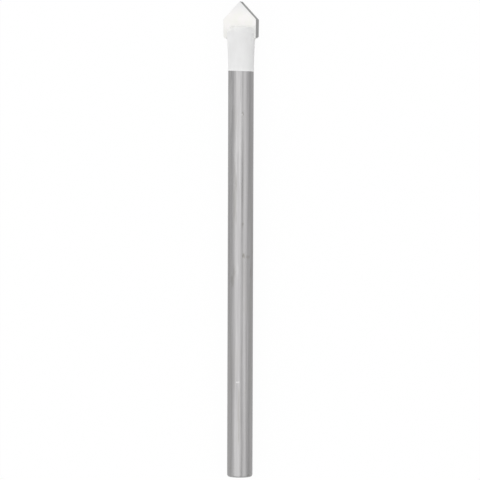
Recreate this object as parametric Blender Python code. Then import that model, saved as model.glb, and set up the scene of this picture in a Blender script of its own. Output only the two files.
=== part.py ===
"""Glass and tile drill bit: a ground round shank, a spear-shaped carbide plate set in a slot
across its head, and the braze that holds the plate. It lies on its side as it would on a bench,
with its point towards +X.

Each piece is modelled about the bit's own axis: X across the plate, Y through its thickness and
Z from the shank's end (0) to the point. The empty "bit_axis" then lays all of them down.
"""

import math

import bmesh
import bpy
from mathutils import Matrix, Vector

MM = 0.001

# Whole bit
OVERALL_LENGTH = 88.9 * MM
PLATE_CLOCKING = math.radians(10.0)  # the plate is turned this far out of level as the bit lies

# Round shank, ground to a plain cylinder
SHANK_DIAMETER = 4.76 * MM
SHANK_SIDES = 64
END_CHAMFER_LENGTH = 0.4 * MM
END_CHAMFER_DEPTH = 0.14 * MM

# Blasted head, which swells a little from the collar towards the plate
HEAD_LENGTH = 12.9 * MM  # collar to point
HEAD_BASE_DIAMETER = 4.8 * MM
HEAD_TOP_DIAMETER = 5.36 * MM
HEAD_SWELL = 1.6  # 1 would be a straight cone; above 1 the head flares towards the plate
HEAD_STEPS = 6
COLLAR_RAMP = 0.06 * MM
STEEL_SETBACK = 4.83 * MM  # steel end to point
NOSE_CHAMFER_LENGTH = 0.9 * MM
NOSE_CHAMFER_DEPTH = 0.42 * MM

# Carbide plate
PLATE_WIDTH = 6.45 * MM
PLATE_THICKNESS = 1.6 * MM
PLATE_LENGTH = 6.85 * MM  # foot to point
POINT_ANGLE = math.radians(85.0)
LIP_RELIEF = math.radians(7.0)
MARGIN_RELIEF = math.radians(10.5)
BACK_TAPER = math.radians(0.5)
FOOT_CHAMFER = 0.3 * MM

# Braze between the plate and its slot
BRAZE_FILM = 0.1 * MM
BRAZE_RECESS = 0.05 * MM  # how far the film stops short of the steel end
FILLET_WIDTH = 0.3 * MM
FILLET_HEIGHT = 0.6 * MM
FILLET_STEPS = 5
CLEARANCE = 0.01 * MM  # between the braze and what it touches

WELD_DISTANCE = 1e-7
SHARP_ANGLE = math.radians(30.0)

# Radii and heights that follow from the sizes above
SHANK_RADIUS = SHANK_DIAMETER / 2
HEAD_BASE_RADIUS = HEAD_BASE_DIAMETER / 2
HEAD_TOP_RADIUS = HEAD_TOP_DIAMETER / 2
COLLAR_HEIGHT = OVERALL_LENGTH - HEAD_LENGTH
STEEL_END_HEIGHT = OVERALL_LENGTH - STEEL_SETBACK
NOSE_FOOT_HEIGHT = STEEL_END_HEIGHT - NOSE_CHAMFER_LENGTH
PLATE_FOOT_HEIGHT = OVERALL_LENGTH - PLATE_LENGTH
SLOT_FLOOR_HEIGHT = PLATE_FOOT_HEIGHT - BRAZE_FILM
SLOT_HALF_WIDTH = PLATE_THICKNESS / 2 + BRAZE_FILM
FILLET_FOOT_HEIGHT = PLATE_FOOT_HEIGHT - FILLET_HEIGHT


def clear_scene():
    for obj in list(bpy.data.objects):
        bpy.data.objects.remove(obj, do_unlink=True)


def material(name, color, roughness, metallic):
    made = bpy.data.materials.new(name)
    made.use_nodes = True
    shader = made.node_tree.nodes["Principled BSDF"]
    shader.inputs["Base Color"].default_value = (*color, 1.0)
    shader.inputs["Roughness"].default_value = roughness
    shader.inputs["Metallic"].default_value = metallic
    return made


def object_from(bm, name, finish=None):
    """Turns the bmesh into a named object that lies down with the bit's axis."""
    bmesh.ops.recalc_face_normals(bm, faces=bm.faces)
    mesh = bpy.data.meshes.new(name)
    bm.to_mesh(mesh)
    bm.free()
    mesh.shade_smooth()
    mesh.set_sharp_from_angle(angle=SHARP_ANGLE)
    if finish:
        mesh.materials.append(finish)
    obj = bpy.data.objects.new(name, mesh)
    bpy.context.scene.collection.objects.link(obj)
    obj.parent = bpy.data.objects["bit_axis"]
    return obj


def as_cutter(obj):
    obj.hide_render = True
    obj.display_type = "WIRE"
    return obj


def boolean(obj, operation, other):
    modifier = obj.modifiers.new(f"{operation.lower()} {other.name}", "BOOLEAN")
    modifier.operation = operation
    modifier.solver = "EXACT"
    modifier.object = other


def lay_down_axis():
    """Lays the bit on the rim of its shank end and on the widest part of its head."""
    span = NOSE_FOOT_HEIGHT - END_CHAMFER_LENGTH
    lean = math.atan2(HEAD_TOP_RADIUS - SHANK_RADIUS, span)
    axis_height = SHANK_RADIUS * math.cos(lean) - END_CHAMFER_LENGTH * math.sin(lean)
    back = OVERALL_LENGTH / 2 * math.cos(lean)
    empty = bpy.data.objects.new("bit_axis", None)
    bpy.context.scene.collection.objects.link(empty)
    empty.matrix_world = (
        Matrix.Translation((-back, 0.0, axis_height))
        @ Matrix.Rotation(-lean, 4, "Y")
        @ Matrix.Rotation(-math.pi / 2 - PLATE_CLOCKING, 4, "X")
        @ Matrix.Rotation(math.pi / 2, 4, "Y")
    )


def turned(outline):
    """Spins a (radius, height) outline about the axis, with one of its corners facing the bench."""
    bm = bmesh.new()
    points = [bm.verts.new((radius, 0.0, height)) for radius, height in outline]
    edges = [bm.edges.new(pair) for pair in zip(points, points[1:])]
    first_corner = math.pi / 2 + PLATE_CLOCKING
    turn = Matrix.Rotation(first_corner, 3, "Z")
    bmesh.ops.rotate(bm, verts=points, cent=(0.0, 0.0, 0.0), matrix=turn)
    bmesh.ops.spin(
        bm,
        geom=points + edges,
        cent=(0.0, 0.0, 0.0),
        axis=(0.0, 0.0, 1.0),
        angle=math.tau,
        steps=SHANK_SIDES,
        use_merge=True,
    )
    bmesh.ops.remove_doubles(bm, verts=bm.verts, dist=WELD_DISTANCE)
    return bm


def box(low, high):
    bm = bmesh.new()
    size = Vector(high) - Vector(low)
    middle = (Vector(high) + Vector(low)) / 2
    bmesh.ops.create_cube(bm, size=1.0, matrix=Matrix.Translation(middle) @ Matrix.Diagonal((*size, 1.0)))
    return bm


def head_radius(height):
    """The head's radius at a height between the collar and the foot of the nose chamfer."""
    share = (height - COLLAR_HEIGHT) / (NOSE_FOOT_HEIGHT - COLLAR_HEIGHT)
    return HEAD_BASE_RADIUS + share**HEAD_SWELL * (HEAD_TOP_RADIUS - HEAD_BASE_RADIUS)


def head_outline(low, high, spare=0.0):
    """The head's swelling side between two heights, moved outwards by spare."""
    heights = [low + (high - low) * step / HEAD_STEPS for step in range(HEAD_STEPS + 1)]
    return [(head_radius(height) + spare, height) for height in heights]


def steel_outline():
    return [
        (0.0, 0.0),
        (SHANK_RADIUS - END_CHAMFER_DEPTH, 0.0),
        (SHANK_RADIUS, END_CHAMFER_LENGTH),
        (SHANK_RADIUS, COLLAR_HEIGHT - COLLAR_RAMP),
        *head_outline(COLLAR_HEIGHT, NOSE_FOOT_HEIGHT),
        (HEAD_TOP_RADIUS - NOSE_CHAMFER_DEPTH, STEEL_END_HEIGHT),
        (0.0, STEEL_END_HEIGHT),
    ]


def make_shank():
    """The turned steel body, slotted across its head for the plate."""
    finish = material("ground_steel", (0.45, 0.45, 0.46), 0.35, 1.0)
    shank = object_from(turned(steel_outline()), "shank", finish)
    reach = HEAD_TOP_DIAMETER
    low = (-reach, -SLOT_HALF_WIDTH, SLOT_FLOOR_HEIGHT)
    high = (reach, SLOT_HALF_WIDTH, OVERALL_LENGTH)
    boolean(shank, "DIFFERENCE", as_cutter(object_from(box(low, high), "slot_cutter")))
    return shank


def grind(bm, point, outward):
    """Takes away all that lies outside the plane, and closes the cut with one flat face."""
    geometry = bm.verts[:] + bm.edges[:] + bm.faces[:]
    cut = bmesh.ops.bisect_plane(
        bm, geom=geometry, dist=WELD_DISTANCE, plane_co=point, plane_no=outward, clear_outer=True
    )
    rim = [item for item in cut["geom_cut"] if isinstance(item, bmesh.types.BMEdge)]
    bmesh.ops.contextual_create(bm, geom=rim)


def plate_form(grow=0.0):
    """The spear-shaped plate. Every face is moved outwards by grow.

    The two halves match when the bit makes half a turn. On each, the lip and the margin lead
    at the face that meets the work first, and the ground faces fall away behind them.
    """
    half_width = PLATE_WIDTH / 2
    half_thickness = PLATE_THICKNESS / 2
    half_point = POINT_ANGLE / 2
    reach = (PLATE_WIDTH, half_thickness + grow)
    bm = box((-reach[0], -reach[1], PLATE_FOOT_HEIGHT - grow), (*reach, 2 * OVERALL_LENGTH))
    # both flanks meet in a level chisel edge, at the full length, above the middle of the plate
    lead_height = OVERALL_LENGTH + half_thickness * math.tan(LIP_RELIEF) / math.sin(half_point)
    shoulder_height = lead_height - half_width / math.tan(half_point)
    chamfer_middle = Vector((half_width - FOOT_CHAMFER / 2, 0.0, PLATE_FOOT_HEIGHT + FOOT_CHAMFER / 2))
    for side in (1.0, -1.0):
        behind = Vector((0.0, -side, 0.0))
        lip_out = Vector((side * math.cos(half_point), 0.0, math.sin(half_point)))
        flank_out = lip_out * math.cos(LIP_RELIEF) + behind * math.sin(LIP_RELIEF)
        lead_tip = Vector((0.0, side * half_thickness, lead_height))
        grind(bm, lead_tip + flank_out * grow, flank_out)
        taper_out = Vector((side * math.cos(BACK_TAPER), 0.0, -math.sin(BACK_TAPER)))
        margin_out = taper_out * math.cos(MARGIN_RELIEF) + behind * math.sin(MARGIN_RELIEF)
        shoulder = Vector((side * half_width, side * half_thickness, shoulder_height))
        grind(bm, shoulder + margin_out * grow, margin_out)
        chamfer_out = Vector((side, 0.0, -1.0)).normalized()
        corner = Vector((side * chamfer_middle.x, 0.0, chamfer_middle.z))
        grind(bm, corner + chamfer_out * grow, chamfer_out)
    return bm


def make_plate():
    finish = material("carbide", (0.62, 0.62, 0.61), 0.45, 0.6)
    return object_from(plate_form(), "carbide_tip", finish)


def braze_outline():
    """Flush with the head beside the slot, and flared into a hollow fillet under the plate's ears."""
    foot_radius = head_radius(FILLET_FOOT_HEIGHT)
    fillet_top = PLATE_FOOT_HEIGHT - CLEARANCE
    fillet = []
    for step in range(FILLET_STEPS + 1):
        angle = math.pi / 2 * (1 - step / FILLET_STEPS)
        radius = foot_radius + FILLET_WIDTH * (1 - math.sin(angle))
        height = fillet_top - FILLET_HEIGHT * (1 - math.cos(angle))
        fillet.append((radius, height))
    top = STEEL_END_HEIGHT - BRAZE_RECESS
    top_radius = HEAD_TOP_RADIUS - NOSE_CHAMFER_DEPTH * (1 - BRAZE_RECESS / NOSE_CHAMFER_LENGTH)
    return [
        (0.0, fillet[0][1]),
        *fillet,
        *head_outline(fillet_top, NOSE_FOOT_HEIGHT),
        (top_radius, top),
        (0.0, top),
    ]


def head_core_outline():
    """The steel below the slot's floor, with clearance, which the braze goes round."""
    below = FILLET_FOOT_HEIGHT - FILLET_HEIGHT
    floor = SLOT_FLOOR_HEIGHT + CLEARANCE
    return [
        (0.0, below),
        *head_outline(below, floor, CLEARANCE),
        (0.0, floor),
    ]


def make_braze():
    """The film round the plate in its slot, in one piece with the fillets under its ears."""
    finish = material("braze_alloy", (0.72, 0.70, 0.64), 0.5, 0.7)
    braze = object_from(turned(braze_outline()), "braze_joint", finish)
    reach = PLATE_WIDTH
    half = SLOT_HALF_WIDTH - CLEARANCE
    low = (-reach, -half, FILLET_FOOT_HEIGHT - FILLET_HEIGHT)
    high = (reach, half, OVERALL_LENGTH)
    boolean(braze, "INTERSECT", as_cutter(object_from(box(low, high), "slot_filling")))
    boolean(braze, "DIFFERENCE", as_cutter(object_from(turned(head_core_outline()), "head_core")))
    boolean(braze, "DIFFERENCE", as_cutter(object_from(plate_form(CLEARANCE), "plate_room")))
    return braze


def main():
    clear_scene()
    lay_down_axis()
    make_shank()
    make_plate()
    make_braze()


main()
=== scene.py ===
"""Looks of the glass and tile drill bit: the finish of its three pieces, a white floor, soft studio
light and a camera that looks down on the bit as the photograph does.

The pieces are modelled in millimetres about the bit's own axis, as in the construction: X across
the plate, Y through its thickness and Z from the shank's end (0) to the point. Their meshes are
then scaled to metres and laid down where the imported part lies, along the scene's own X axis.
"""

import math

import bmesh
import bpy
from mathutils import Matrix, Vector, noise


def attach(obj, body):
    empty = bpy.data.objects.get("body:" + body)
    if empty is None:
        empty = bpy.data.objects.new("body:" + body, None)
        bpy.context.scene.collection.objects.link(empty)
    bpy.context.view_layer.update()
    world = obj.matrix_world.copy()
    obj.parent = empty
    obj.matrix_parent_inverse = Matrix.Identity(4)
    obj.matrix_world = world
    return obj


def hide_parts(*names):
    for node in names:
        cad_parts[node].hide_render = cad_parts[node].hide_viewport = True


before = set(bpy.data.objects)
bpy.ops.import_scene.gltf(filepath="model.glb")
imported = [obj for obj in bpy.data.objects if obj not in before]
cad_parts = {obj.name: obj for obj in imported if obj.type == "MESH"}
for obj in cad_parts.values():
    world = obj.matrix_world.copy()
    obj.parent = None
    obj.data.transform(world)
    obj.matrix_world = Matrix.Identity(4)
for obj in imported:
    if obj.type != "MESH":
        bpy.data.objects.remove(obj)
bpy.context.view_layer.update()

METRES_PER_MM = 0.001
MM_PER_METRE = 1 / METRES_PER_MM

# Whole bit, in millimetres
OVERALL_LENGTH = 88.9
PLATE_CLOCKING = math.radians(10.0)

# Shank
SHANK_RADIUS = 2.38
END_CHAMFER_LENGTH = 0.4
END_CHAMFER_DEPTH = 0.14
END_RIM_RADIUS = 0.34
END_SHOULDER_RADIUS = 1.0

# Head
COLLAR_HEIGHT = OVERALL_LENGTH - 12.9
COLLAR_RAMP = 0.06
COLLAR_EDGE_RADIUS = 0.02
COLLAR_SLANT = 0.03  # the blasting ends in a line that isn't quite square
HEAD_BASE_RADIUS = 2.4
HEAD_TOP_RADIUS = 2.68
HEAD_SWELL = 1.6  # above 1, so that the head widens mostly towards its nose
STEEL_END_HEIGHT = OVERALL_LENGTH - 4.83
NOSE_CHAMFER_LENGTH = 0.9
NOSE_CHAMFER_DEPTH = 0.42
NOSE_FOOT_HEIGHT = STEEL_END_HEIGHT - NOSE_CHAMFER_LENGTH
NOSE_EDGE_RADIUS = 0.35
STEEL_END_EDGE_RADIUS = 0.15

# Carbide plate
PLATE_WIDTH = 6.45
PLATE_THICKNESS = 1.6
PLATE_LENGTH = 6.85
PLATE_FOOT_HEIGHT = OVERALL_LENGTH - PLATE_LENGTH
POINT_ANGLE = math.radians(85.0)
LIP_RELIEF = math.radians(7.0)
MARGIN_RELIEF = math.radians(10.5)
BACK_TAPER = math.radians(0.5)
FOOT_CHAMFER = 0.3
HONED_EDGE = 0.025
BROAD_FACING = 0.9  # a broad face's normal has more than this through the plate's thickness
FOOT_FACING = 0.5  # a foot face's normal has more than this towards the shank

# Braze
BRAZE_FILM = 0.1
BRAZE_RECESS = 0.05
SEAM = 0.002  # keeps bonded pieces just clear of each other
SLOT_FLOOR_HEIGHT = PLATE_FOOT_HEIGHT - BRAZE_FILM
FILLET_WIDTH = 0.3
FILLET_HEIGHT = 0.6
FILLET_NARROWING = 0.5  # the share of its width that it has lost at its lowest point
FILLET_FULLNESS = 0.3  # the smaller, the fuller its flanks under the ear
FILLET_ROOT = 0.3  # how far it reaches into the film behind it
UNDER_FILLETS = PLATE_FOOT_HEIGHT - 2 * FILLET_HEIGHT  # a height well below both
FILLET_LUMPS = 0.25
FILLET_LUMP_RATES = (1.5, 4.0, 2.0)  # across, from ear to ear and downwards
BEAD_RISE = 0.4  # up the plate's face
BEAD_REACH = 0.7  # out over the steel end
BEAD_END_SHARE = 0.02  # left off at both ends, where the bead would shrink to nothing
BEAD_RAGGEDNESS = 0.14
BEAD_RAG_RATES = (2.2, 3.0, 0.5)  # across, from face to face and the noise's third axis
PUDDLE_MIDDLE = -1.85
PUDDLE_SPREAD = 0.75
PUDDLE_REACH = 0.75
PUDDLE_DEPTH = 0.15  # for each millimetre that the puddle reaches

# Fineness of the meshes
TURNED_SIDES = 160
ARC_STEPS = 4
HEAD_STEPS = 24
HONE_STEPS = 3
FILLET_STEPS = 12
BEAD_STEPS = 72
BEAD_ARC_STEPS = 8
SHARP_ANGLE = math.radians(32.0)
CUT_DISTANCE = 1e-5
WELD_DISTANCE = 2e-3
WELD_PASSES = 3


def lay_down_matrix():
    """The bit's place: on the rim of its shank end and on the widest part of its head."""
    span = NOSE_FOOT_HEIGHT - END_CHAMFER_LENGTH
    lean = math.atan2(HEAD_TOP_RADIUS - SHANK_RADIUS, span)
    axis_height = SHANK_RADIUS * math.cos(lean) - END_CHAMFER_LENGTH * math.sin(lean)
    back = OVERALL_LENGTH / 2 * math.cos(lean)
    return (
        Matrix.Translation(Vector((-back, 0.0, axis_height)) * METRES_PER_MM)
        @ Matrix.Rotation(-lean, 4, "Y")
        @ Matrix.Rotation(-math.pi / 2 - PLATE_CLOCKING, 4, "X")
        @ Matrix.Rotation(math.pi / 2, 4, "Y")
    )


# Outlines and meshes


def rounded(outline, radii):
    """A (radius, height) outline with an arc in place of each corner that radii names."""
    points = []
    for index, corner in enumerate(outline):
        radius = radii.get(index)
        if radius is None:
            points.append(corner)
            continue
        here = Vector(corner)
        before = (Vector(outline[index - 1]) - here).normalized()
        after = (Vector(outline[index + 1]) - here).normalized()
        half = before.angle(after) / 2
        centre = here + (before + after).normalized() * radius / math.sin(half)
        start = here + before * radius / math.tan(half) - centre
        end = here + after * radius / math.tan(half) - centre
        turn = start.angle_signed(end)
        for step in range(ARC_STEPS + 1):
            angle = -turn * step / ARC_STEPS
            points.append(tuple(centre + Matrix.Rotation(angle, 2) @ start))
    return points


def turned(outline):
    """Spins a (radius, height) outline about the axis, with one of its corners facing the floor."""
    bm = bmesh.new()
    points = [bm.verts.new((radius, 0.0, height)) for radius, height in outline]
    edges = [bm.edges.new(pair) for pair in zip(points, points[1:])]
    first_corner = Matrix.Rotation(math.pi / 2 + PLATE_CLOCKING, 3, "Z")
    bmesh.ops.rotate(bm, verts=points, cent=(0.0, 0.0, 0.0), matrix=first_corner)
    bmesh.ops.spin(
        bm,
        geom=points + edges,
        cent=(0.0, 0.0, 0.0),
        axis=(0.0, 0.0, 1.0),
        angle=math.tau,
        steps=TURNED_SIDES,
        use_merge=True,
    )
    bmesh.ops.remove_doubles(bm, verts=bm.verts, dist=CUT_DISTANCE)
    return bm


def box(low, high):
    """A box between two opposite corners."""
    bm = bmesh.new()
    size = Vector(high) - Vector(low)
    middle = (Vector(high) + Vector(low)) / 2
    place = Matrix.Translation(middle) @ Matrix.Diagonal((*size, 1.0))
    bmesh.ops.create_cube(bm, size=1.0, matrix=place)
    return bm


def loft(sections):
    """A closed body through a row of cuts that all have the same number of points."""
    bm = bmesh.new()
    rings = [[bm.verts.new(point) for point in section] for section in sections]
    for first, second in zip(rings, rings[1:]):
        for index in range(len(first)):
            following = (index + 1) % len(first)
            bm.faces.new((first[index], first[following], second[following], second[index]))
    bm.faces.new(rings[0])
    bm.faces.new(rings[-1])
    return bm


def uneven(place, rates):
    """Smooth noise around 0, which changes along each axis of the place at its own rate."""
    return noise.noise(Vector([value * rate for value, rate in zip(place, rates)]))


def mesh_object(bm, name):
    """Turns the mesh that is being built into an object of the scene."""
    bmesh.ops.recalc_face_normals(bm, faces=bm.faces)
    mesh = bpy.data.meshes.new(name)
    bm.to_mesh(mesh)
    bm.free()
    obj = bpy.data.objects.new(name, mesh)
    bpy.context.scene.collection.objects.link(obj)
    return obj


def apply_modifiers(obj):
    """Keeps the shape that the modifiers give, and drops the modifiers."""
    graph = bpy.context.evaluated_depsgraph_get()
    shaped = bpy.data.meshes.new_from_object(obj.evaluated_get(graph))
    obj.modifiers.clear()
    obj.data = shaped
    shaped.name = obj.name


def combine(obj, operation, other):
    """Cuts the object with the other one, or joins them, and removes the other one."""
    modifier = obj.modifiers.new(operation, "BOOLEAN")
    modifier.operation = operation
    modifier.solver = "EXACT"
    modifier.object = other
    apply_modifiers(obj)
    bpy.data.objects.remove(other)


def weld(obj):
    """Removes the slivers that the cuts leave, and the flaps that hang on by one edge."""
    bm = bmesh.new()
    bm.from_mesh(obj.data)
    for _ in range(WELD_PASSES):
        bmesh.ops.triangulate(bm, faces=bm.faces)
        bmesh.ops.remove_doubles(bm, verts=bm.verts, dist=WELD_DISTANCE)
        bmesh.ops.dissolve_degenerate(bm, dist=WELD_DISTANCE, edges=bm.edges)
    bmesh.ops.triangulate(bm, faces=bm.faces)
    flaps = [face for face in bm.faces if any(edge.is_boundary for edge in face.edges)]
    bmesh.ops.delete(bm, geom=flaps, context="FACES")
    bm.to_mesh(obj.data)
    bm.free()


def finish_piece(obj, node):
    """Scales the piece to metres, lays it down and lets it stand for its node."""
    obj.data.transform(lay_down_matrix() @ Matrix.Scale(METRES_PER_MM, 4))
    obj.data.shade_smooth()
    obj.data.set_sharp_from_angle(angle=SHARP_ANGLE)
    normals = obj.modifiers.new("weighted normals", "WEIGHTED_NORMAL")
    normals.keep_sharp = True
    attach(obj, "root")
    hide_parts(node)


# Steel body


def head_radius(height):
    """The head's radius at a height between the collar and the foot of the nose chamfer."""
    share = (height - COLLAR_HEIGHT) / (NOSE_FOOT_HEIGHT - COLLAR_HEIGHT)
    return HEAD_BASE_RADIUS + share**HEAD_SWELL * (HEAD_TOP_RADIUS - HEAD_BASE_RADIUS)


def steel_radius(height):
    """The head's radius, its nose chamfer included."""
    if height <= NOSE_FOOT_HEIGHT:
        return head_radius(height)
    return HEAD_TOP_RADIUS - NOSE_CHAMFER_DEPTH * (height - NOSE_FOOT_HEIGHT) / NOSE_CHAMFER_LENGTH


def steel_outline():
    """From the middle of the shank's end face to the middle of the steel's end, corners rounded."""
    step = (NOSE_FOOT_HEIGHT - COLLAR_HEIGHT) / HEAD_STEPS
    heights = [COLLAR_HEIGHT + step * n for n in range(HEAD_STEPS + 1)]
    swell = [(head_radius(height), height) for height in heights]
    corners = [
        (0.0, 0.0),
        (SHANK_RADIUS - END_CHAMFER_DEPTH, 0.0),
        (SHANK_RADIUS, END_CHAMFER_LENGTH),
        (SHANK_RADIUS, COLLAR_HEIGHT - COLLAR_RAMP),
        swell[0],
        *swell[2:-2],  # the steps beside both ends make room for the rounded corners
        swell[-1],
        (HEAD_TOP_RADIUS - NOSE_CHAMFER_DEPTH, STEEL_END_HEIGHT),
        (0.0, STEEL_END_HEIGHT),
    ]
    last = len(corners) - 1
    radii = {
        1: END_RIM_RADIUS,
        2: END_SHOULDER_RADIUS,
        3: COLLAR_EDGE_RADIUS,
        4: COLLAR_EDGE_RADIUS,
        last - 2: NOSE_EDGE_RADIUS,
        last - 1: STEEL_END_EDGE_RADIUS,
    }
    return rounded(corners, radii)


def make_shank(ground, blasted):
    """The turned steel body, slotted across its head. Above the collar it is blasted."""
    shank = mesh_object(turned(steel_outline()), "steel_body")
    half = PLATE_THICKNESS / 2 + BRAZE_FILM
    reach = 2 * HEAD_TOP_RADIUS
    slot = mesh_object(box((-reach, -half, SLOT_FLOOR_HEIGHT), (reach, half, OVERALL_LENGTH)), "slot")
    combine(shank, "DIFFERENCE", slot)
    shank.data.materials.clear()
    shank.data.materials.append(ground)
    shank.data.materials.append(blasted)
    for face in shank.data.polygons:
        face.material_index = int(face.center.z > COLLAR_HEIGHT - COLLAR_RAMP)
    for vertex in shank.data.vertices:
        if abs(vertex.co.z - COLLAR_HEIGHT) < 2 * COLLAR_RAMP:
            vertex.co.z -= COLLAR_SLANT * vertex.co.x
    finish_piece(shank, "shank")


# Carbide plate


def grind(bm, point, outward):
    """Takes away all that lies outside the plane, and closes the cut with one flat face."""
    geometry = bm.verts[:] + bm.edges[:] + bm.faces[:]
    cut = bmesh.ops.bisect_plane(
        bm, geom=geometry, dist=CUT_DISTANCE, plane_co=point, plane_no=outward, clear_outer=True
    )
    rim = [item for item in cut["geom_cut"] if isinstance(item, bmesh.types.BMEdge)]
    bmesh.ops.contextual_create(bm, geom=rim)


def plate_form(grow=0.0):
    """The spear-shaped plate, ground at its two lips, two margins and two foot corners."""
    half_width = PLATE_WIDTH / 2
    half_thickness = PLATE_THICKNESS / 2
    half_point = POINT_ANGLE / 2
    reach = (PLATE_WIDTH, half_thickness + grow)
    bm = box((-reach[0], -reach[1], PLATE_FOOT_HEIGHT - grow), (*reach, 2 * OVERALL_LENGTH))
    lead_height = OVERALL_LENGTH + half_thickness * math.tan(LIP_RELIEF) / math.sin(half_point)
    shoulder_height = lead_height - half_width / math.tan(half_point)
    chamfer_middle = Vector((half_width - FOOT_CHAMFER / 2, 0.0, PLATE_FOOT_HEIGHT + FOOT_CHAMFER / 2))
    for side in (1.0, -1.0):
        behind = Vector((0.0, -side, 0.0))
        lip_out = Vector((side * math.cos(half_point), 0.0, math.sin(half_point)))
        flank_out = lip_out * math.cos(LIP_RELIEF) + behind * math.sin(LIP_RELIEF)
        lead_tip = Vector((0.0, side * half_thickness, lead_height))
        taper_out = Vector((side * math.cos(BACK_TAPER), 0.0, -math.sin(BACK_TAPER)))
        margin_out = taper_out * math.cos(MARGIN_RELIEF) + behind * math.sin(MARGIN_RELIEF)
        shoulder = Vector((side * half_width, side * half_thickness, shoulder_height))
        chamfer_out = Vector((side, 0.0, -1.0)).normalized()
        corner = Vector((side * chamfer_middle.x, 0.0, chamfer_middle.z))
        planes = ((lead_tip, flank_out), (shoulder, margin_out), (corner, chamfer_out))
        for point, outward in planes:
            grind(bm, point + outward * grow, outward)
    return bm


def make_plate(face_finish, ground_finish):
    """The plate, edges honed. Its broad faces and foot are blasted, its lips and margins ground."""
    plate = mesh_object(plate_form(), "carbide_plate")
    plate.data.materials.append(face_finish)
    plate.data.materials.append(ground_finish)
    for face in plate.data.polygons:
        broad = abs(face.normal.y) > BROAD_FACING
        foot = face.normal.z < -FOOT_FACING
        face.material_index = 0 if broad or foot else 1
    hone = plate.modifiers.new("honed edges", "BEVEL")
    hone.width = HONED_EDGE
    hone.segments = HONE_STEPS
    hone.limit_method = "ANGLE"
    hone.angle_limit = SHARP_ANGLE
    apply_modifiers(plate)
    finish_piece(plate, "carbide_tip")


# Braze


def braze_outline():
    """The outline of the film before it is cut to the slot, flush with the head around it."""
    below = SLOT_FLOOR_HEIGHT + SEAM
    top = STEEL_END_HEIGHT - BRAZE_RECESS
    return [
        (0.0, below),
        (head_radius(below), below),
        (head_radius(PLATE_FOOT_HEIGHT), PLATE_FOOT_HEIGHT),
        (HEAD_TOP_RADIUS, NOSE_FOOT_HEIGHT),
        (steel_radius(top), top),
        (0.0, top),
    ]


def fillet_ring(side, share):
    """One level cut through a fillet. The share is 0 at the plate's foot and 1 at its lowest point."""
    height = PLATE_FOOT_HEIGHT - SEAM - FILLET_HEIGHT * share
    proud = FILLET_WIDTH * (1 - math.sin(math.acos(1 - share)))
    half_width = PLATE_THICKNESS / 2 * (1 - FILLET_NARROWING * share**2)
    half_angle = math.asin(half_width / head_radius(height))
    outer, inner = [], []
    for step in range(-FILLET_STEPS, FILLET_STEPS + 1):
        across = step / FILLET_STEPS
        lump = 1 + FILLET_LUMPS * uneven((across, side, share), FILLET_LUMP_RATES)
        flank = max(math.cos(math.pi / 2 * across), 0.0) ** (FILLET_FULLNESS + share)
        swell = proud * lump * flank
        direction = Vector((side * math.cos(across * half_angle), math.sin(across * half_angle), 0.0))
        lift = Vector((0.0, 0.0, height))
        outer.append(direction * (head_radius(height) + swell) + lift)
        inner.append(direction * (head_radius(height) - FILLET_ROOT) + lift)
    return outer + inner[::-1]


def ear_fillet(side):
    """The hollow fillet under one ear of the plate, rounded down to the steel on both flanks."""
    return loft([fillet_ring(side, step / FILLET_STEPS) for step in range(FILLET_STEPS + 1)])


def steel_top(across, through):
    """The height of the steel's end, or of its nose chamfer, at a place seen from the point."""
    radius = math.hypot(across, through)
    fall = (radius - HEAD_TOP_RADIUS + NOSE_CHAMFER_DEPTH) * NOSE_CHAMFER_LENGTH / NOSE_CHAMFER_DEPTH
    return STEEL_END_HEIGHT - max(fall, 0.0)


def bead_section(side, across, share):
    """One cut through the bead, from the plate's face in a hollow curve down to the steel."""
    ragged = uneven((across, side, 1.0), BEAD_RAG_RATES) * BEAD_RAGGEDNESS
    taper = math.sqrt(math.sin(math.pi * share))
    puddle = math.exp(-(((across * -side - PUDDLE_MIDDLE) / PUDDLE_SPREAD) ** 2)) * PUDDLE_REACH
    rise = (BEAD_RISE + ragged) * taper
    reach = BRAZE_FILM + (BEAD_REACH + ragged + puddle) * taper
    inner = PLATE_THICKNESS / 2
    outer = inner + reach
    foot = steel_top(across, outer) - BRAZE_FILM
    section = [(inner, foot), (outer, foot)]
    for step in range(BEAD_ARC_STEPS + 1):
        angle = math.pi / 2 * step / BEAD_ARC_STEPS
        through = outer - reach * math.sin(angle)
        film = rise * (1 - math.cos(angle)) + PUDDLE_DEPTH * puddle * taper * math.sin(2 * angle)
        section.append((through, steel_top(across, through) + film))
    return [(across, side * through, height) for through, height in section]


def braze_bead(side):
    """The ragged bead that the braze leaves along the steel end, on one face of the plate."""
    end_radius = HEAD_TOP_RADIUS - NOSE_CHAMFER_DEPTH / 2
    half_length = math.sqrt(end_radius**2 - (PLATE_THICKNESS / 2) ** 2)
    sections = []
    for step in range(BEAD_STEPS + 1):
        share = BEAD_END_SHARE + (1 - 2 * BEAD_END_SHARE) * step / BEAD_STEPS
        sections.append(bead_section(side, half_length * (2 * share - 1), share))
    return loft(sections)


def head_core():
    """The steel under the slot's floor, a seam wider than it is, to cut the fillets free of it."""
    floor = SLOT_FLOOR_HEIGHT + SEAM
    outline = [(0.0, UNDER_FILLETS)]
    for step in range(HEAD_STEPS + 1):
        height = UNDER_FILLETS + (floor - UNDER_FILLETS) * step / HEAD_STEPS
        outline.append((head_radius(height) + SEAM, height))
    return turned([*outline, (0.0, floor)])


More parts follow.
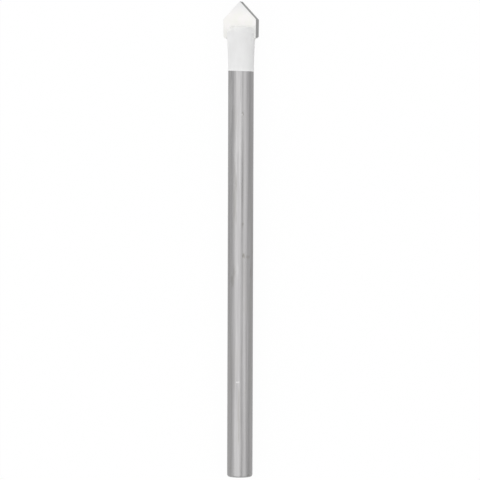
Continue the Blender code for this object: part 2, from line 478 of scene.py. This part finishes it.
def make_braze(finish):
    """The film round the plate, with the fillets under its ears and the beads on its faces."""
    braze = mesh_object(turned(braze_outline()), "braze_seam")
    half = PLATE_THICKNESS / 2 + BRAZE_FILM - SEAM
    filling = box((-PLATE_WIDTH, -half, UNDER_FILLETS), (PLATE_WIDTH, half, OVERALL_LENGTH))
    combine(braze, "INTERSECT", mesh_object(filling, "filling"))
    for side in (1.0, -1.0):
        combine(braze, "UNION", mesh_object(ear_fillet(side), "fillet"))
    combine(braze, "DIFFERENCE", mesh_object(head_core(), "core"))
    for side in (1.0, -1.0):
        combine(braze, "UNION", mesh_object(braze_bead(side), "bead"))
    combine(braze, "DIFFERENCE", mesh_object(plate_form(SEAM), "plate_room"))
    weld(braze)
    braze.data.materials.clear()
    braze.data.materials.append(finish)
    finish_piece(braze, "braze_joint")


# Materials

STREAK_DARK = (0.348, 0.342, 0.344)
STREAK_BRIGHT = (0.5, 0.493, 0.496)
STREAK_ROUGHNESS = (0.25, 0.37)
STAIN = (0.408, 0.401, 0.387)
STAIN_SHARE = 0.35
# for the marks of handling, and for the long streaks of painted shade and painted highlight
MARK_AND_SHADE_DARK = (0.3, 0.292, 0.272)
MARK_AND_HIGHLIGHT_BRIGHT = (0.66, 0.655, 0.655)
HEAD_DARK = (0.855, 0.855, 0.853)
HEAD_PALE = (0.881, 0.881, 0.88)
# painted highlight on the nose chamfer, for light that falls on it from the point's side
HEAD_NOSE_HIGHLIGHT = (0.935, 0.935, 0.92)
# painted highlight: a paler band on the head just above the collar
HEAD_RIM_HIGHLIGHT = (0.93, 0.93, 0.93)
HEAD_RIM_HIGHLIGHT_SHARE = 0.6
PLATE_WARM = (0.925, 0.921, 0.883)
PLATE_COOL = (0.955, 0.933, 0.926)
# greyer where braze film creeps over the plate, and painted shade on the plate's right ear
PLATE_FILM_AND_SHADE = (0.8, 0.8, 0.79)
PLATE_CREEP_SHARE = 0.4
PLATE_POINT = (0.855, 0.855, 0.855)
GROUND_DARK = (0.335, 0.335, 0.335)
GROUND_PALE = (0.405, 0.405, 0.401)
BRAZE_DARK = (0.945, 0.945, 0.925)
BRAZE_PALE = (0.975, 0.975, 0.955)
# painted shade on the braze's right side
BRAZE_RIGHT_SHADE = (0.9, 0.9, 0.88)

# Which noise values count as low and high. The closer they are, the harder the contrast.
CLOUD_LIMITS = (0.35, 0.65)
STREAK_LIMITS = (0.34, 0.66)
STAIN_LIMITS = (0.52, 0.72)
RAGGED_LIMITS = (0.3, 0.7)
GRINDING_LIMITS = (0.3, 0.7)

# Between which places the finish changes, in millimetres from the shank's end
# where the painted highlight at the collar fades out
HEAD_RIM_HIGHLIGHT_REACH = (COLLAR_HEIGHT + 0.1, COLLAR_HEIGHT + 0.7)
# where the painted highlight on the nose chamfer shows
HEAD_NOSE_HIGHLIGHT_REACH = (NOSE_FOOT_HEIGHT - 0.2, STEEL_END_HEIGHT - 0.1)
# where the painted shade on the plate's right ear fades out
PLATE_RIGHT_SHADE_REACH = (STEEL_END_HEIGHT - 0.2, STEEL_END_HEIGHT + 0.35)
PLATE_CREEP_REACH = (STEEL_END_HEIGHT - 0.9, STEEL_END_HEIGHT + 0.5)
PLATE_POINT_REACH = (OVERALL_LENGTH - 2.6, OVERALL_LENGTH - 0.6)

# And in millimetres from the axis to the picture's left
# the painted highlight on the nose chamfer shows in full on the picture's left, faintly on its right
HEAD_NOSE_HIGHLIGHT_SIDE = (-0.4, 1.5)
HEAD_NOSE_HIGHLIGHT_RIGHT_SHARE = 0.05
# painted shade on the plate's right ear and on the braze lies to the picture's right of this
PLATE_RIGHT_SHADE_SIDE = (-1.6, -0.2)

UPPER_SIDE_FADE = 1.2  # the marks show in full at this many shank radii above the floor
SPOT_FADE = (0.4, 1.1)  # a spot thins out from here to there, in half sizes of its oval
SPOT_RAGGEDNESS = 0.5
SPOT_GRAIN = 0.3
SPOT_GRAIN_LENGTH = 0.5  # along the bit, or half of a longer spot's half length

# Marks of handling on the shank's upper side, and long streaks of painted highlight and shade along its
# reflections, in millimetres: how far along from its end, how far to the picture's left, half length,
# half width, and how much of the mark's color shows.
DARK_MARKS_AND_PAINTED_SHADE = (
    (67.9, -0.32, 0.55, 0.2, 0.7),
    (54.9, 0.85, 1.2, 0.3, 0.35),
    (52.1, 1.1, 6.5, 0.45, 0.36),
    (47.4, -0.42, 0.5, 0.25, 0.6),
    (41.6, -0.5, 0.55, 0.3, 0.9),
    (41.3, -1.3, 0.3, 0.5, 0.5),
    (38.6, 1.2, 1.4, 0.35, 0.4),
    (37.0, 1.5, 1.5, 0.3, 0.5),
    (38.3, -1.95, 1.6, 0.25, 0.4),
    (12.4, 0.25, 5.5, 0.16, 0.45),
    (8.0, 0.0, 9.0, 0.32, 0.16),
    (42.0, -2.02, 45.0, 0.32, 0.35),
    (18.0, 1.68, 26.0, 0.25, 0.25),
    (0.45, -1.6, 0.15, 0.25, 0.8),
)
BRIGHT_MARKS_AND_PAINTED_HIGHLIGHTS = (
    (69.8, 1.88, 7.0, 0.38, 0.36),
    (67.8, -0.2, 0.22, 0.14, 0.7),
    (63.5, 0.0, 15.0, 0.38, 0.3),
    (62.3, 0.75, 4.5, 0.65, 0.2),
    (38.9, 0.5, 1.6, 0.3, 0.15),
    (20.0, -1.48, 24.0, 0.3, 0.17),
    (17.9, 0.45, 0.2, 0.35, 0.6),
    (6.0, -0.4, 8.0, 0.27, 0.16),
)


class Finish:
    """A material with a Principled shader, and short ways to add the nodes behind it."""

    def __init__(self, name, metallic):
        self.material = bpy.data.materials.new(name)
        self.material.use_nodes = True
        self.tree = self.material.node_tree
        self.shader = self.tree.nodes["Principled BSDF"]
        self.place = self.node("ShaderNodeTexCoord").outputs["Object"]
        self.set("Metallic", metallic)

    def node(self, kind, **settings):
        made = self.tree.nodes.new(kind)
        for name, value in settings.items():
            setattr(made, name, value)
        return made

    def feed(self, socket, value):
        """Links an output to the socket, or sets a plain value on it."""
        if isinstance(value, bpy.types.NodeSocket):
            self.tree.links.new(value, socket)
        else:
            socket.default_value = value

    def set(self, name, value):
        """Feeds one of the shader's own inputs."""
        self.feed(self.shader.inputs[name], value)

    def coordinate(self, axis):
        """The object coordinate along X, Y or Z, in metres."""
        split = self.node("ShaderNodeSeparateXYZ")
        self.feed(split.inputs["Vector"], self.place)
        return split.outputs[axis]

    def noise(self, across, along, detail=2.0, roughness=0.5):
        """Noise whose grain has a size in millimetres across and along the axis."""
        mapping = self.node("ShaderNodeMapping")
        self.feed(mapping.inputs["Vector"], self.place)
        fineness = (MM_PER_METRE / along, MM_PER_METRE / across, MM_PER_METRE / across)
        mapping.inputs["Scale"].default_value = fineness
        texture = self.node("ShaderNodeTexNoise")
        self.feed(texture.inputs["Vector"], mapping.outputs["Vector"])
        texture.inputs["Scale"].default_value = 1.0
        texture.inputs["Detail"].default_value = detail
        texture.inputs["Roughness"].default_value = roughness
        return texture.outputs["Fac"]

    def spread(self, value, source, target=(0.0, 1.0)):
        """Maps the source's two values to the target's two, and holds the rest between these."""
        mapped = self.node("ShaderNodeMapRange")
        self.feed(mapped.inputs["Value"], value)
        mapped.inputs["From Min"].default_value = source[0]
        mapped.inputs["From Max"].default_value = source[1]
        mapped.inputs["To Min"].default_value = target[0]
        mapped.inputs["To Max"].default_value = target[1]
        return mapped.outputs["Result"]

    def ragged(self, depth, across, along):
        """Noise from -depth to depth, which makes the border uneven where it is added to a distance."""
        return self.spread(self.noise(across, along), RAGGED_LIMITS, (-depth, depth))

    def math(self, operation, first, second):
        made = self.node("ShaderNodeMath", operation=operation)
        self.feed(made.inputs[0], first)
        self.feed(made.inputs[1], second)
        return made.outputs["Value"]

    def weighted_sum(self, *terms):
        """The sum of all the values, each times its weight."""
        total, *others = [self.math("MULTIPLY", value, weight) for value, weight in terms]
        for other in others:
            total = self.math("ADD", total, other)
        return total

    def mix(self, share, first, second):
        """The first color where the share is 0, the second where it is 1."""
        made = self.node("ShaderNodeMix", data_type="RGBA")
        self.feed(made.inputs["Factor"], share)
        for socket, color in ((made.inputs["A"], first), (made.inputs["B"], second)):
            self.feed(socket, (*color, 1.0) if isinstance(color, tuple) else color)
        return made.outputs["Result"]

    def mottle(self, value, low_color, high_color, limits=CLOUD_LIMITS):
        """One color where the noise is low and another where it is high."""
        return self.mix(self.spread(value, limits), low_color, high_color)

    def along(self):
        """How far along the bit a point lies, in millimetres from the shank's end."""
        from_middle = self.math("MULTIPLY", self.coordinate("X"), MM_PER_METRE)
        return self.math("ADD", from_middle, OVERALL_LENGTH / 2)

    def upper_side(self):
        """1 on the side that faces up as the bit lies, 0 on the side that faces the floor."""
        axis = SHANK_RADIUS * METRES_PER_MM
        return self.spread(self.coordinate("Z"), (axis, UPPER_SIDE_FADE * axis))

    def left_side(self, limits, right_share=0.0):
        """1 to the picture's left of both limits, right_share to their right."""
        source = [limit * METRES_PER_MM for limit in limits]
        return self.spread(self.coordinate("Y"), source, (right_share, 1.0))

    def spot(self, along, sideways, half_length, half_width):
        """A ragged oval, 1 in its middle and 0 outside it, seen from above."""
        oval = self.node("ShaderNodeMapping")
        self.feed(oval.inputs["Vector"], self.place)
        from_middle = along - OVERALL_LENGTH / 2
        shift = (-from_middle / half_length, -sideways / half_width, 0.0)
        oval.inputs["Location"].default_value = shift
        fineness = (MM_PER_METRE / half_length, MM_PER_METRE / half_width, 0.0)
        oval.inputs["Scale"].default_value = fineness
        distance = self.node("ShaderNodeVectorMath", operation="LENGTH")
        self.feed(distance.inputs[0], oval.outputs["Vector"])
        grain_length = max(SPOT_GRAIN_LENGTH, half_length / 2)
        rim = self.ragged(SPOT_RAGGEDNESS, SPOT_GRAIN, grain_length)
        return self.spread(self.math("ADD", distance.outputs["Value"], rim), SPOT_FADE, (1.0, 0.0))

    def bump(self, value, depth, strength=1.0):
        """Raises the surface by up to depth millimetres."""
        made = self.node("ShaderNodeBump")
        made.inputs["Strength"].default_value = strength
        made.inputs["Distance"].default_value = depth * METRES_PER_MM
        self.feed(made.inputs["Height"], value)
        self.set("Normal", made.outputs["Normal"])


def marked_and_painted(finish, color):
    """The color with small marks of handling on it, and long streaks of painted highlight and shade."""
    upper = finish.upper_side()
    # the long streaks among these paint highlight and shade where the shank's reflections run
    for marks, mark_color in ((DARK_MARKS_AND_PAINTED_SHADE, MARK_AND_SHADE_DARK), (BRIGHT_MARKS_AND_PAINTED_HIGHLIGHTS, MARK_AND_HIGHLIGHT_BRIGHT)):
        for *place, share in marks:
            spot = finish.math("MULTIPLY", finish.spot(*place), share)
            color = finish.mix(finish.math("MULTIPLY", spot, upper), color, mark_color)
    return color


def ground_steel():
    """Bright steel with fine lines along its length, a few stains, the marks of handling and painted
    streaks of highlight and shade.
    """
    finish = Finish("ground_steel", metallic=1.0)
    broad = finish.noise(across=0.9, along=45.0)
    streaks = finish.noise(across=0.5, along=16.0, detail=3.0, roughness=0.55)
    fine = finish.noise(across=0.12, along=10.0, detail=3.0, roughness=0.65)
    lines = finish.weighted_sum((broad, 0.35), (streaks, 0.45), (fine, 0.2))
    color = finish.mottle(lines, STREAK_DARK, STREAK_BRIGHT, STREAK_LIMITS)
    stains = finish.noise(across=1.6, along=6.0, detail=3.0)
    color = finish.mix(finish.spread(stains, STAIN_LIMITS, (0.0, STAIN_SHARE)), color, STAIN)
    finish.set("Base Color", marked_and_painted(finish, color))
    finish.set("Roughness", finish.spread(lines, STREAK_LIMITS, STREAK_ROUGHNESS))
    finish.bump(finish.weighted_sum((broad, 1.0), (fine, 0.12)), depth=0.03)
    return finish.material


def blasted_steel():
    """The head, matt and pale grey, with painted highlights: paler at its collar and on the left of its
    nose chamfer.
    """
    finish = Finish("blasted_steel", metallic=0.0)
    cloud = finish.noise(across=1.4, along=2.4, detail=3.0)
    color = finish.mottle(cloud, HEAD_DARK, HEAD_PALE)
    along = finish.along()
    ragged = finish.math("ADD", along, finish.ragged(0.3, across=0.6, along=0.6))
    left = finish.left_side(HEAD_NOSE_HIGHLIGHT_SIDE, HEAD_NOSE_HIGHLIGHT_RIGHT_SHARE)
    # painted highlight: the nose chamfer is paler on the picture's left, for light from the point's
    # side
    nose_highlight = finish.math("MULTIPLY", finish.spread(ragged, HEAD_NOSE_HIGHLIGHT_REACH), left)
    color = finish.mix(nose_highlight, color, HEAD_NOSE_HIGHLIGHT)
    # painted highlight along the collar's edge
    rim = finish.spread(along, HEAD_RIM_HIGHLIGHT_REACH, (HEAD_RIM_HIGHLIGHT_SHARE, 0.0))
    finish.set("Base Color", finish.mix(rim, color, HEAD_RIM_HIGHLIGHT))
    finish.set("Roughness", 0.7)
    finish.set("Diffuse Roughness", 1.0)
    finish.bump(finish.noise(across=0.07, along=0.07), depth=0.012, strength=0.6)
    return finish.material


def blasted_carbide():
    """The plate's broad faces, greyer at the point and where a film of braze has crept over them, with
    painted shade on the ear at the picture's right.
    """
    finish = Finish("blasted_carbide", metallic=0.0)
    cloud = finish.noise(across=1.6, along=1.6)
    color = finish.mottle(cloud, PLATE_WARM, PLATE_COOL)
    along = finish.along()
    ragged = finish.math("ADD", along, finish.ragged(0.35, across=1.1, along=0.5))
    # painted shade: the ear on the picture's right, shaded by the steel cheek beside it, is painted
    # greyer
    right = finish.math("SUBTRACT", 1.0, finish.left_side(PLATE_RIGHT_SHADE_SIDE))
    film = finish.math("MULTIPLY", finish.spread(ragged, PLATE_RIGHT_SHADE_REACH, (1.0, 0.0)), right)
    creeping = finish.spread(ragged, PLATE_CREEP_REACH, (PLATE_CREEP_SHARE, 0.0))
    color = finish.mix(finish.math("MAXIMUM", film, creeping), color, PLATE_FILM_AND_SHADE)
    color = finish.mix(finish.spread(along, PLATE_POINT_REACH), color, PLATE_POINT)
    finish.set("Base Color", color)
    finish.set("Roughness", 0.6)
    finish.bump(finish.noise(across=0.06, along=0.06), depth=0.008, strength=0.5)
    return finish.material


def ground_carbide():
    """Lips and margins, ground bare in fine lines across the bit."""
    finish = Finish("ground_carbide", metallic=1.0)
    lines = finish.noise(across=0.5, along=0.035)
    finish.set("Base Color", finish.mottle(lines, GROUND_DARK, GROUND_PALE, GRINDING_LIMITS))
    finish.set("Roughness", 0.38)
    finish.bump(lines, depth=0.003)
    return finish.material


def blasted_braze():
    """The braze, lumpy and the palest of all, with painted shade that makes it a little greyer on the
    picture's right.
    """
    finish = Finish("blasted_braze", metallic=0.0)
    lumps = finish.noise(across=0.5, along=0.5, detail=3.0)
    color = finish.mottle(lumps, BRAZE_DARK, BRAZE_PALE)
    # painted shade: the braze is greyer on the picture's right
    color = finish.mix(finish.left_side(PLATE_RIGHT_SHADE_SIDE), BRAZE_RIGHT_SHADE, color)
    finish.set("Base Color", color)
    finish.set("Roughness", 0.6)
    finish.bump(lumps, depth=0.03, strength=0.6)
    return finish.material


# Floor, light and camera, in metres where nothing else is said

FLOOR_SIZE = 6.0
FLOOR_DROP = 0.00002  # keeps the floor just clear of the faces that touch it
FLOOR_COLOR = 0.7
FLOOR_GLOW = 1.02
FLOOR_GLOW_SHARE = 0.94  # the rest keeps a faint shadow of the bit
GLOSSY_SHARE = 0.3  # how much of the white background the steel mirrors
WORLD_LEFT = 0.585
WORLD_RIGHT = 0.3
LIGHT_DISTANCE = 0.7
STRIP_LENGTH = 2.5
STRIP_MIDDLE = 0.25
WATTS_PER_RADIANCE = 4.0  # for each square metre of an area lamp
PICTURE_SIZE = 480  # pixels
FOCAL_PIXELS = 2891
SENSOR = 36.0  # millimetres
CAMERA_DISTANCE = 0.541
CAMERA_TILT = math.radians(2.1)
CAMERA_ROLL = math.radians(0.175)
CAMERA_AIM = Vector((-0.00006, 0.00009, 0.00238))
CAMERA_NEAR = 0.01
CAMERA_FAR = 20.0
WHITE = (1.0, 1.0, 1.0, 1.0)


def background_rays(tree):
    """1 for rays that see the background straight or through glass, less for mirrored ones."""
    rays = tree.nodes.new("ShaderNodeLightPath")
    mirrored = tree.nodes.new("ShaderNodeMath")
    mirrored.operation = "MULTIPLY_ADD"
    mirrored.inputs[1].default_value = GLOSSY_SHARE
    tree.links.new(rays.outputs["Is Glossy Ray"], mirrored.inputs[0])
    tree.links.new(rays.outputs["Is Camera Ray"], mirrored.inputs[2])
    either = tree.nodes.new("ShaderNodeMath")
    either.operation = "MAXIMUM"
    tree.links.new(mirrored.outputs["Value"], either.inputs[0])
    tree.links.new(rays.outputs["Is Transmission Ray"], either.inputs[1])
    return either.outputs["Value"]


def make_floor():
    """A sheet that looks white to the camera and still takes a faint shadow of the bit."""
    bm = bmesh.new()
    bmesh.ops.create_grid(bm, x_segments=1, y_segments=1, size=FLOOR_SIZE / 2)
    floor = mesh_object(bm, "floor")
    floor.location.z = -FLOOR_DROP
    material = bpy.data.materials.new("white_floor")
    material.use_nodes = True
    nodes = material.node_tree.nodes
    links = material.node_tree.links
    nodes.clear()
    output = nodes.new("ShaderNodeOutputMaterial")
    diffuse = nodes.new("ShaderNodeBsdfDiffuse")
    diffuse.inputs["Color"].default_value = (FLOOR_COLOR, FLOOR_COLOR, FLOOR_COLOR, 1.0)
    glow = nodes.new("ShaderNodeEmission")
    glow.inputs["Color"].default_value = WHITE
    glow.inputs["Strength"].default_value = FLOOR_GLOW
    share = nodes.new("ShaderNodeMath")
    share.operation = "MULTIPLY"
    share.inputs[1].default_value = FLOOR_GLOW_SHARE
    links.new(background_rays(material.node_tree), share.inputs[0])
    mix = nodes.new("ShaderNodeMixShader")
    links.new(share.outputs["Value"], mix.inputs["Fac"])
    links.new(diffuse.outputs["BSDF"], mix.inputs[1])
    links.new(glow.outputs["Emission"], mix.inputs[2])
    links.new(mix.outputs["Shader"], output.inputs["Surface"])
    floor.data.materials.append(material)


def make_world():
    """White where it is seen, and a soft light that is stronger from the picture's left."""
    world = bpy.data.worlds.new("studio")
    bpy.context.scene.world = world
    world.use_nodes = True
    nodes = world.node_tree.nodes
    links = world.node_tree.links
    background = nodes["Background"]
    direction = nodes.new("ShaderNodeTexCoord")
    split = nodes.new("ShaderNodeSeparateXYZ")
    room = nodes.new("ShaderNodeMapRange")
    room.inputs["From Min"].default_value = -1.0
    room.inputs["To Min"].default_value = WORLD_RIGHT
    room.inputs["To Max"].default_value = WORLD_LEFT
    links.new(direction.outputs["Generated"], split.inputs["Vector"])
    links.new(split.outputs["Y"], room.inputs["Value"])
    level = nodes.new("ShaderNodeMapRange")
    level.inputs["To Max"].default_value = 1.0
    links.new(room.outputs["Result"], level.inputs["To Min"])
    links.new(background_rays(world.node_tree), level.inputs["Value"])
    links.new(level.outputs["Result"], background.inputs["Strength"])
    background.inputs["Color"].default_value = WHITE


def strip_light(name, first_angle, last_angle, radiance):
    """A softbox beside the bit. Angles are in degrees from straight up, positive to the right."""
    middle = math.radians((first_angle + last_angle) / 2)
    half = math.radians((last_angle - first_angle) / 2)
    width = 2 * LIGHT_DISTANCE * math.tan(half)
    lamp = bpy.data.lights.new(name, "AREA")
    lamp.shape = "RECTANGLE"
    lamp.size = STRIP_LENGTH
    lamp.size_y = width
    lamp.energy = radiance * STRIP_LENGTH * width * WATTS_PER_RADIANCE
    obj = bpy.data.objects.new(name, lamp)
    bpy.context.scene.collection.objects.link(obj)
    obj.location = (
        STRIP_MIDDLE,
        -math.sin(middle) * LIGHT_DISTANCE,
        math.cos(middle) * LIGHT_DISTANCE,
    )
    obj.rotation_euler = (middle, 0.0, 0.0)
    obj.visible_camera = False


def make_lights():
    """A softbox on each side, and a wider and weaker one round each of them."""
    strip_light("left_softbox", first_angle=-50.0, last_angle=5.0, radiance=0.42)
    strip_light("left_spill", first_angle=-70.0, last_angle=10.0, radiance=0.21)
    strip_light("right_softbox", first_angle=26.0, last_angle=55.0, radiance=0.36)
    strip_light("right_spill", first_angle=19.0, last_angle=80.0, radiance=0.22)


def make_camera():
    """The photograph's camera: nearly straight above the bit, which points up in the picture."""
    data = bpy.data.cameras.new("camera")
    data.sensor_width = SENSOR
    data.lens = FOCAL_PIXELS * SENSOR / PICTURE_SIZE
    data.clip_start = CAMERA_NEAR
    data.clip_end = CAMERA_FAR
    camera = bpy.data.objects.new("camera", data)
    bpy.context.scene.collection.objects.link(camera)
    tilt = Matrix.Rotation(CAMERA_TILT, 4, "Y")
    roll = Matrix.Rotation(-math.pi / 2 + CAMERA_ROLL, 4, "Z")
    back = Matrix.Translation((0.0, 0.0, CAMERA_DISTANCE))
    camera.matrix_world = Matrix.Translation(CAMERA_AIM) @ (tilt @ roll) @ back
    bpy.context.scene.camera = camera


make_shank(ground_steel(), blasted_steel())
make_plate(blasted_carbide(), ground_carbide())
make_braze(blasted_braze())
make_floor()
make_world()
make_lights()
make_camera()
bpy.context.scene.view_settings.view_transform = "Standard"
